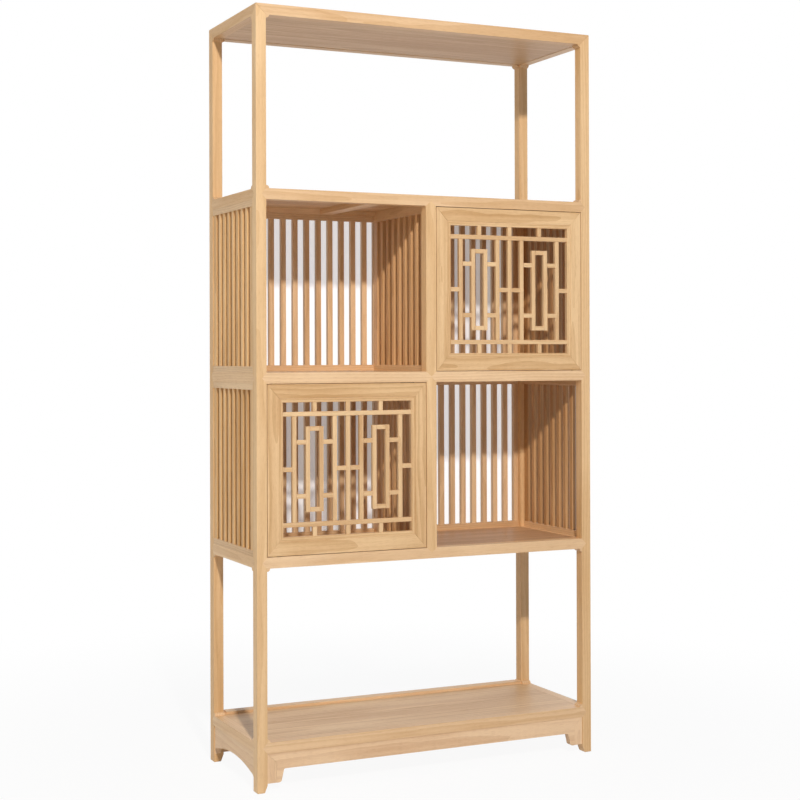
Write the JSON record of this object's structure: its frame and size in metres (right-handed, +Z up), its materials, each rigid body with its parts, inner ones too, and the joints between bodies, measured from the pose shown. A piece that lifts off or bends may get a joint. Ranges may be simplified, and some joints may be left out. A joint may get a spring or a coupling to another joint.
{
  "type": "book cabinet",
  "caption": "Tall open-shelved book cabinet in light solid wood, with stick grilles around four cells and lattice doors on two of them.",
  "frame": {"origin": "on the floor under the middle of the cabinet", "axes": "+Z up, +X to the right seen from the front, the front faces -Y"},
  "size_m": [1, 0.35, 2],
  "materials": {
    "frame_wood": "satin oil",
    "board_wood": "satin oil",
    "grille_wood": "satin oil",
    "door_wood": "satin oil",
    "lattice_wood": "satin oil",
    "pivot_brass": "satin",
    "strike_steel": "brushed",
    "catch_plastic": "matte"
  },
  "bodies": {
    "cabinet": {"front_left_post": "frame_wood", "front_right_post": "frame_wood", "rear_left_post": "frame_wood", "rear_right_post": "frame_wood", "upper_centre_post": "frame_wood", "lower_centre_post": "frame_wood", "bottom_shelf_front_rail": "frame_wood", "bottom_shelf_rear_rail": "frame_wood", "bottom_shelf_left_rail": "frame_wood", "bottom_shelf_right_rail": "frame_wood", "bottom_shelf_board": "board_wood", "cabinet_floor_front_rail": "frame_wood", "cabinet_floor_rear_rail": "frame_wood", "cabinet_floor_left_rail": "frame_wood", "cabinet_floor_right_rail": "frame_wood", "cabinet_floor_board": "board_wood", "middle_shelf_front_rail": "frame_wood", "middle_shelf_rear_rail": "frame_wood", "middle_shelf_left_rail": "frame_wood", "middle_shelf_right_rail": "frame_wood", "middle_shelf_board": "board_wood", "cabinet_top_front_rail": "frame_wood", "cabinet_top_rear_rail": "frame_wood", "cabinet_top_left_rail": "frame_wood", "cabinet_top_right_rail": "frame_wood", "cabinet_top_board": "board_wood", "top_front_rail": "frame_wood", "top_rear_rail": "frame_wood", "top_left_rail": "frame_wood", "top_right_rail": "frame_wood", "top_board": "board_wood", "shelf_battens": "frame_wood", "long_aprons": "frame_wood", "side_aprons": "frame_wood", "apron_brackets": "frame_wood", "back_sticks": "grille_wood", "back_grille_rails": "grille_wood", "left_side_sticks": "grille_wood", "right_side_sticks": "grille_wood", "side_grille_rails": "grille_wood", "divider_sticks": "grille_wood", "divider_grille_rails": "grille_wood", "pivot_bushes": "pivot_brass", "door_catches": "catch_plastic"},
    "upper_door": {"upper_door_hinge_stile": "door_wood", "upper_door_latch_stile": "door_wood", "upper_door_top_rail": "door_wood", "upper_door_bottom_rail": "door_wood", "upper_door_lattice_border": "door_wood", "upper_door_lattice": "lattice_wood", "upper_door_pivot_pins": "pivot_brass", "upper_door_strike_plate": "strike_steel"},
    "lower_door": {"lower_door_hinge_stile": "door_wood", "lower_door_latch_stile": "door_wood", "lower_door_top_rail": "door_wood", "lower_door_bottom_rail": "door_wood", "lower_door_lattice_border": "door_wood", "lower_door_lattice": "lattice_wood", "lower_door_pivot_pins": "pivot_brass", "lower_door_strike_plate": "strike_steel"}
  },
  "joints": [
    {"name": "upper_door_hinge", "type": "hinge", "parent": "cabinet", "child": "upper_door", "pos_m": [0.4505, -0.1675, 1.28363], "axis": [0, 0, 1], "range_deg": [0, 110]},
    {"name": "lower_door_hinge", "type": "hinge", "parent": "cabinet", "child": "lower_door", "pos_m": [-0.4505, -0.1675, 0.81537], "axis": [0, 0, -1], "range_deg": [0, 110]}
  ]
}
